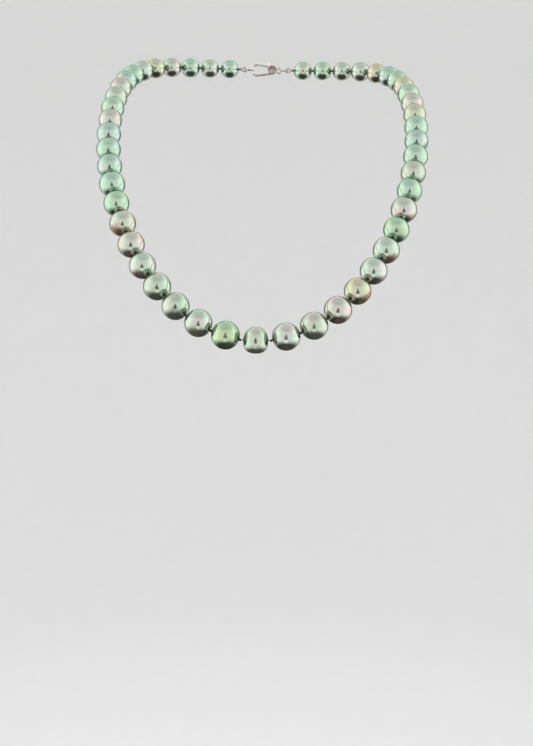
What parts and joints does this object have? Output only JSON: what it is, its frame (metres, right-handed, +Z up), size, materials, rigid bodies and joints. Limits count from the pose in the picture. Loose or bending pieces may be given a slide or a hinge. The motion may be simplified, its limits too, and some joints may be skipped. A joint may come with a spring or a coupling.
{
  "type": "pearl necklace",
  "caption": "Graduated knotted strand of dark overtone pearls in its worn shape, closed at the nape by a claw clasp, each pearl free to hinge at its knots.",
  "frame": {"origin": "middle of the clasp line at the nape, where the necklace rests on the back of the neck", "axes": "+X to the right of a viewer facing the front of the necklace, -Y to the front of the neck, +Z up"},
  "size_m": [0.1227, 0.1532, 0.1025],
  "materials": {
    "pearl_silver_green": "polished",
    "pearl_silver": "polished",
    "pearl_green": "polished",
    "pearl_rose": "polished",
    "pearl_blue": "polished",
    "pearl_gold": "polished",
    "silk": "waxed silk",
    "white_gold": "polished",
    "bullion": "fine coiled wire",
    "spring_steel": "plain"
  },
  "bodies": {
    "clasp": {"silk_thread": "silk", "bullion_right": "bullion", "bullion_left": "bullion", "jump_ring": "white_gold", "end_ring": "white_gold", "claw_body": "white_gold", "trigger_pin": "white_gold", "trigger_spring": "spring_steel"},
    "trigger": {"claw_trigger": "white_gold"},
    "pearl_right_24": {"pearl_right_24": "pearl_silver_green"},
    "pearl_right_23": {"pearl_right_23": "pearl_green"},
    "pearl_right_22": {"pearl_right_22": "pearl_rose"},
    "pearl_right_21": {"pearl_right_21": "pearl_silver"},
    "pearl_right_20": {"pearl_right_20": "pearl_gold"},
    "pearl_right_19": {"pearl_right_19": "pearl_blue"},
    "pearl_right_18": {"pearl_right_18": "pearl_green"},
    "pearl_right_17": {"pearl_right_17": "pearl_gold"},
    "pearl_right_16": {"pearl_right_16": "pearl_green"},
    "pearl_right_15": {"pearl_right_15": "pearl_rose"},
    "pearl_right_14": {"pearl_right_14": "pearl_gold"},
    "pearl_right_13": {"pearl_right_13": "pearl_green"},
    "pearl_right_12": {"pearl_right_12": "pearl_blue"},
    "pearl_right_11": {"pearl_right_11": "pearl_green"},
    "pearl_right_10": {"pearl_right_10": "pearl_silver_green"},
    "pearl_right_09": {"pearl_right_09": "pearl_green"},
    "pearl_right_08": {"pearl_right_08": "pearl_rose"},
    "pearl_right_07": {"pearl_right_07": "pearl_green"},
    "pearl_right_06": {"pearl_right_06": "pearl_silver"},
    "pearl_right_05": {"pearl_right_05": "pearl_silver"},
    "pearl_right_04": {"pearl_right_04": "pearl_gold"},
    "pearl_right_03": {"pearl_right_03": "pearl_rose"},
    "pearl_right_02": {"pearl_right_02": "pearl_silver_green"},
    "pearl_right_01": {"pearl_right_01": "pearl_silver"},
    "pearl_centre": {"pearl_centre": "pearl_silver_green"},
    "pearl_left_24": {"pearl_left_24": "pearl_blue"},
    "pearl_left_23": {"pearl_left_23": "pearl_silver"},
    "pearl_left_22": {"pearl_left_22": "pearl_green"},
    "pearl_left_21": {"pearl_left_21": "pearl_rose"},
    "pearl_left_20": {"pearl_left_20": "pearl_gold"},
    "pearl_left_19": {"pearl_left_19": "pearl_silver"},
    "pearl_left_18": {"pearl_left_18": "pearl_green"},
    "pearl_left_17": {"pearl_left_17": "pearl_blue"},
    "pearl_left_16": {"pearl_left_16": "pearl_rose"},
    "pearl_left_15": {"pearl_left_15": "pearl_silver_green"},
    "pearl_left_14": {"pearl_left_14": "pearl_green"},
    "pearl_left_13": {"pearl_left_13": "pearl_rose"},
    "pearl_left_12": {"pearl_left_12": "pearl_blue"},
    "pearl_left_11": {"pearl_left_11": "pearl_green"},
    "pearl_left_10": {"pearl_left_10": "pearl_blue"},
    "pearl_left_09": {"pearl_left_09": "pearl_green"},
    "pearl_left_08": {"pearl_left_08": "pearl_green"},
    "pearl_left_07": {"pearl_left_07": "pearl_rose"},
    "pearl_left_06": {"pearl_left_06": "pearl_rose"},
    "pearl_left_05": {"pearl_left_05": "pearl_silver"},
    "pearl_left_04": {"pearl_left_04": "pearl_silver_green"},
    "pearl_left_03": {"pearl_left_03": "pearl_silver_green"},
    "pearl_left_02": {"pearl_left_02": "pearl_silver"},
    "pearl_left_01": {"pearl_left_01": "pearl_green"}
  },
  "joints": [
    {"name": "trigger_open", "type": "hinge", "parent": "clasp", "child": "trigger", "pos_m": [0.0026, 0, 0.00085], "axis": [0, -1, 0], "range_deg": [0, 24], "stiffness_Nm_per_rad": 0.004, "springref_deg": -11.46, "deforming": ["trigger_spring"]},
    {"name": "knot_right_24", "type": "hinge", "parent": "clasp", "child": "pearl_right_24", "pos_m": [0.0115, 0, 0], "axis": [-1, 0, 0], "range_deg": [0, 15], "deforming": ["silk_thread"]},
    {"name": "knot_right_23", "type": "hinge", "parent": "pearl_right_24", "child": "pearl_right_23", "pos_m": [0.01981, -0.00077, 0.00003], "axis": [-1, 0, 0], "range_deg": [0, 15]},
    {"name": "knot_right_22", "type": "hinge", "parent": "pearl_right_23", "child": "pearl_right_22", "pos_m": [0.02815, -0.00232, 0.00003], "axis": [-1, 0, 0], "range_deg": [0, 15]},
    {"name": "knot_right_21", "type": "hinge", "parent": "pearl_right_22", "child": "pearl_right_21", "pos_m": [0.03623, -0.00529, -0.00011], "axis": [-1, 0, 0], "range_deg": [0, 15]},
    {"name": "knot_right_20", "type": "hinge", "parent": "pearl_right_21", "child": "pearl_right_20", "pos_m": [0.04331, -0.01035, -0.00067], "axis": [-1, 0, 0], "range_deg": [0, 15]},
    {"name": "knot_right_19", "type": "hinge", "parent": "pearl_right_20", "child": "pearl_right_19", "pos_m": [0.04856, -0.01735, -0.00191], "axis": [-1, 0, 0], "range_deg": [0, 15]},
    {"name": "knot_right_18", "type": "hinge", "parent": "pearl_right_19", "child": "pearl_right_18", "pos_m": [0.05204, -0.02536, -0.00387], "axis": [-1, 0, 0], "range_deg": [0, 15]},
    {"name": "knot_right_17", "type": "hinge", "parent": "pearl_right_18", "child": "pearl_right_17", "pos_m": [0.0543, -0.03373, -0.00647], "axis": [-1, 0, 0], "range_deg": [0, 15]},
    {"name": "knot_right_16", "type": "hinge", "parent": "pearl_right_17", "child": "pearl_right_16", "pos_m": [0.05575, -0.04219, -0.00964], "axis": [-1, 0, 0], "range_deg": [0, 15]},
    {"name": "knot_right_15", "type": "hinge", "parent": "pearl_right_16", "child": "pearl_right_15", "pos_m": [0.05662, -0.05062, -0.01332], "axis": [-1, 0, 0], "range_deg": [0, 15]},
    {"name": "knot_right_14", "type": "hinge", "parent": "pearl_right_15", "child": "pearl_right_14", "pos_m": [0.05702, -0.05896, -0.01747], "axis": [-1, 0, 0], "range_deg": [0, 15]},
    {"name": "knot_right_13", "type": "hinge", "parent": "pearl_right_14", "child": "pearl_right_13", "pos_m": [0.057, -0.06717, -0.02206], "axis": [-1, 0, 0], "range_deg": [0, 15]},
    {"name": "knot_right_12", "type": "hinge", "parent": "pearl_right_13", "child": "pearl_right_12", "pos_m": [0.05661, -0.07522, -0.02705], "axis": [-1, 0, 0], "range_deg": [0, 15]},
    {"name": "knot_right_11", "type": "hinge", "parent": "pearl_right_12", "child": "pearl_right_11", "pos_m": [0.05581, -0.08308, -0.03241], "axis": [-1, 0, 0], "range_deg": [0, 15]},
    {"name": "knot_right_10", "type": "hinge", "parent": "pearl_right_11", "child": "pearl_right_10", "pos_m": [0.05461, -0.09074, -0.0381], "axis": [-1, 0, 0], "range_deg": [0, 15]},
    {"name": "knot_right_09", "type": "hinge", "parent": "pearl_right_10", "child": "pearl_right_09", "pos_m": [0.05295, -0.09816, -0.04408], "axis": [-1, 0, 0], "range_deg": [0, 15]},
    {"name": "knot_right_08", "type": "hinge", "parent": "pearl_right_09", "child": "pearl_right_08", "pos_m": [0.05081, -0.10532, -0.05029], "axis": [-1, 0, 0], "range_deg": [0, 15]},
    {"name": "knot_right_07", "type": "hinge", "parent": "pearl_right_08", "child": "pearl_right_07", "pos_m": [0.04811, -0.1122, -0.05669], "axis": [-1, 0, 0], "range_deg": [0, 15]},
    {"name": "knot_right_06", "type": "hinge", "parent": "pearl_right_07", "child": "pearl_right_06", "pos_m": [0.04477, -0.11874, -0.0632], "axis": [-1, 0, 0], "range_deg": [0, 15]},
    {"name": "knot_right_05", "type": "hinge", "parent": "pearl_right_06", "child": "pearl_right_05", "pos_m": [0.0407, -0.12491, -0.06972], "axis": [-1, 0, 0], "range_deg": [0, 15]},
    {"name": "knot_right_04", "type": "hinge", "parent": "pearl_right_05", "child": "pearl_right_04", "pos_m": [0.03579, -0.13062, -0.0761], "axis": [-1, 0, 0], "range_deg": [0, 15]},
    {"name": "knot_right_03", "type": "hinge", "parent": "pearl_right_04", "child": "pearl_right_03", "pos_m": [0.02987, -0.13577, -0.08216], "axis": [-1, 0, 0], "range_deg": [0, 15]},
    {"name": "knot_right_02", "type": "hinge", "parent": "pearl_right_03", "child": "pearl_right_02", "pos_m": [0.02279, -0.14016, -0.08755], "axis": [-1, 0, 0], "range_deg": [0, 15]},
    {"name": "knot_right_01", "type": "hinge", "parent": "pearl_right_02", "child": "pearl_right_01", "pos_m": [0.01444, -0.14349, -0.0918], "axis": [-1, 0, 0], "range_deg": [0, 15]},
    {"name": "knot_centre", "type": "hinge", "parent": "pearl_right_01", "child": "pearl_centre", "pos_m": [0.00498, -0.14534, -0.09422], "axis": [-1, 0, 0], "range_deg": [0, 15]},
    {"name": "knot_left_24", "type": "hinge", "parent": "clasp", "child": "pearl_left_24", "pos_m": [-0.0115, 0, 0], "axis": [-1, 0, 0], "range_deg": [0, 15]},
    {"name": "knot_left_23", "type": "hinge", "parent": "pearl_left_24", "child": "pearl_left_23", "pos_m": [-0.01981, -0.00077, 0.00003], "axis": [-1, 0, 0], "range_deg": [0, 15]},
    {"name": "knot_left_22", "type": "hinge", "parent": "pearl_left_23", "child": "pearl_left_22", "pos_m": [-0.02815, -0.00232, 0.00003], "axis": [-1, 0, 0], "range_deg": [0, 15]},
    {"name": "knot_left_21", "type": "hinge", "parent": "pearl_left_22", "child": "pearl_left_21", "pos_m": [-0.03623, -0.00529, -0.00011], "axis": [-1, 0, 0], "range_deg": [0, 15]},
    {"name": "knot_left_20", "type": "hinge", "parent": "pearl_left_21", "child": "pearl_left_20", "pos_m": [-0.04331, -0.01035, -0.00067], "axis": [-1, 0, 0], "range_deg": [0, 15]},
    {"name": "knot_left_19", "type": "hinge", "parent": "pearl_left_20", "child": "pearl_left_19", "pos_m": [-0.04856, -0.01735, -0.00191], "axis": [-1, 0, 0], "range_deg": [0, 15]},
    {"name": "knot_left_18", "type": "hinge", "parent": "pearl_left_19", "child": "pearl_left_18", "pos_m": [-0.05204, -0.02536, -0.00387], "axis": [-1, 0, 0], "range_deg": [0, 15]},
    {"name": "knot_left_17", "type": "hinge", "parent": "pearl_left_18", "child": "pearl_left_17", "pos_m": [-0.0543, -0.03373, -0.00647], "axis": [-1, 0, 0], "range_deg": [0, 15]},
    {"name": "knot_left_16", "type": "hinge", "parent": "pearl_left_17", "child": "pearl_left_16", "pos_m": [-0.05575, -0.04219, -0.00964], "axis": [-1, 0, 0], "range_deg": [0, 15]},
    {"name": "knot_left_15", "type": "hinge", "parent": "pearl_left_16", "child": "pearl_left_15", "pos_m": [-0.05662, -0.05062, -0.01332], "axis": [-1, 0, 0], "range_deg": [0, 15]},
    {"name": "knot_left_14", "type": "hinge", "parent": "pearl_left_15", "child": "pearl_left_14", "pos_m": [-0.05702, -0.05896, -0.01747], "axis": [-1, 0, 0], "range_deg": [0, 15]},
    {"name": "knot_left_13", "type": "hinge", "parent": "pearl_left_14", "child": "pearl_left_13", "pos_m": [-0.057, -0.06717, -0.02206], "axis": [-1, 0, 0], "range_deg": [0, 15]},
    {"name": "knot_left_12", "type": "hinge", "parent": "pearl_left_13", "child": "pearl_left_12", "pos_m": [-0.05661, -0.07522, -0.02705], "axis": [-1, 0, 0], "range_deg": [0, 15]},
    {"name": "knot_left_11", "type": "hinge", "parent": "pearl_left_12", "child": "pearl_left_11", "pos_m": [-0.05581, -0.08308, -0.03241], "axis": [-1, 0, 0], "range_deg": [0, 15]},
    {"name": "knot_left_10", "type": "hinge", "parent": "pearl_left_11", "child": "pearl_left_10", "pos_m": [-0.05461, -0.09074, -0.0381], "axis": [-1, 0, 0], "range_deg": [0, 15]},
    {"name": "knot_left_09", "type": "hinge", "parent": "pearl_left_10", "child": "pearl_left_09", "pos_m": [-0.05295, -0.09816, -0.04408], "axis": [-1, 0, 0], "range_deg": [0, 15]},
    {"name": "knot_left_08", "type": "hinge", "parent": "pearl_left_09", "child": "pearl_left_08", "pos_m": [-0.05081, -0.10532, -0.05029], "axis": [-1, 0, 0], "range_deg": [0, 15]},
    {"name": "knot_left_07", "type": "hinge", "parent": "pearl_left_08", "child": "pearl_left_07", "pos_m": [-0.04811, -0.1122, -0.05669], "axis": [-1, 0, 0], "range_deg": [0, 15]},
    {"name": "knot_left_06", "type": "hinge", "parent": "pearl_left_07", "child": "pearl_left_06", "pos_m": [-0.04477, -0.11874, -0.0632], "axis": [-1, 0, 0], "range_deg": [0, 15]},
    {"name": "knot_left_05", "type": "hinge", "parent": "pearl_left_06", "child": "pearl_left_05", "pos_m": [-0.0407, -0.12491, -0.06972], "axis": [-1, 0, 0], "range_deg": [0, 15]},
    {"name": "knot_left_04", "type": "hinge", "parent": "pearl_left_05", "child": "pearl_left_04", "pos_m": [-0.03579, -0.13062, -0.0761], "axis": [-1, 0, 0], "range_deg": [0, 15]},
    {"name": "knot_left_03", "type": "hinge", "parent": "pearl_left_04", "child": "pearl_left_03", "pos_m": [-0.02987, -0.13577, -0.08216], "axis": [-1, 0, 0], "range_deg": [0, 15]},
    {"name": "knot_left_02", "type": "hinge", "parent": "pearl_left_03", "child": "pearl_left_02", "pos_m": [-0.02279, -0.14016, -0.08755], "axis": [-1, 0, 0], "range_deg": [0, 15]},
    {"name": "knot_left_01", "type": "hinge", "parent": "pearl_left_02", "child": "pearl_left_01", "pos_m": [-0.01444, -0.14349, -0.0918], "axis": [-1, 0, 0], "range_deg": [0, 15]}
  ],
  "couplings": [
    {"joint": "knot_left_24", "follows": "knot_right_24", "ratio": 1},
    {"joint": "knot_left_23", "follows": "knot_right_23", "ratio": 1},
    {"joint": "knot_left_22", "follows": "knot_right_22", "ratio": 1},
    {"joint": "knot_left_21", "follows": "knot_right_21", "ratio": 1},
    {"joint": "knot_left_20", "follows": "knot_right_20", "ratio": 1},
    {"joint": "knot_left_19", "follows": "knot_right_19", "ratio": 1},
    {"joint": "knot_left_18", "follows": "knot_right_18", "ratio": 1},
    {"joint": "knot_left_17", "follows": "knot_right_17", "ratio": 1},
    {"joint": "knot_left_16", "follows": "knot_right_16", "ratio": 1},
    {"joint": "knot_left_15", "follows": "knot_right_15", "ratio": 1},
    {"joint": "knot_left_14", "follows": "knot_right_14", "ratio": 1},
    {"joint": "knot_left_13", "follows": "knot_right_13", "ratio": 1},
    {"joint": "knot_left_12", "follows": "knot_right_12", "ratio": 1},
    {"joint": "knot_left_11", "follows": "knot_right_11", "ratio": 1},
    {"joint": "knot_left_10", "follows": "knot_right_10", "ratio": 1},
    {"joint": "knot_left_09", "follows": "knot_right_09", "ratio": 1},
    {"joint": "knot_left_08", "follows": "knot_right_08", "ratio": 1},
    {"joint": "knot_left_07", "follows": "knot_right_07", "ratio": 1},
    {"joint": "knot_left_06", "follows": "knot_right_06", "ratio": 1},
    {"joint": "knot_left_05", "follows": "knot_right_05", "ratio": 1},
    {"joint": "knot_left_04", "follows": "knot_right_04", "ratio": 1},
    {"joint": "knot_left_03", "follows": "knot_right_03", "ratio": 1},
    {"joint": "knot_left_02", "follows": "knot_right_02", "ratio": 1},
    {"joint": "knot_left_01", "follows": "knot_right_01", "ratio": 1}
  ]
}
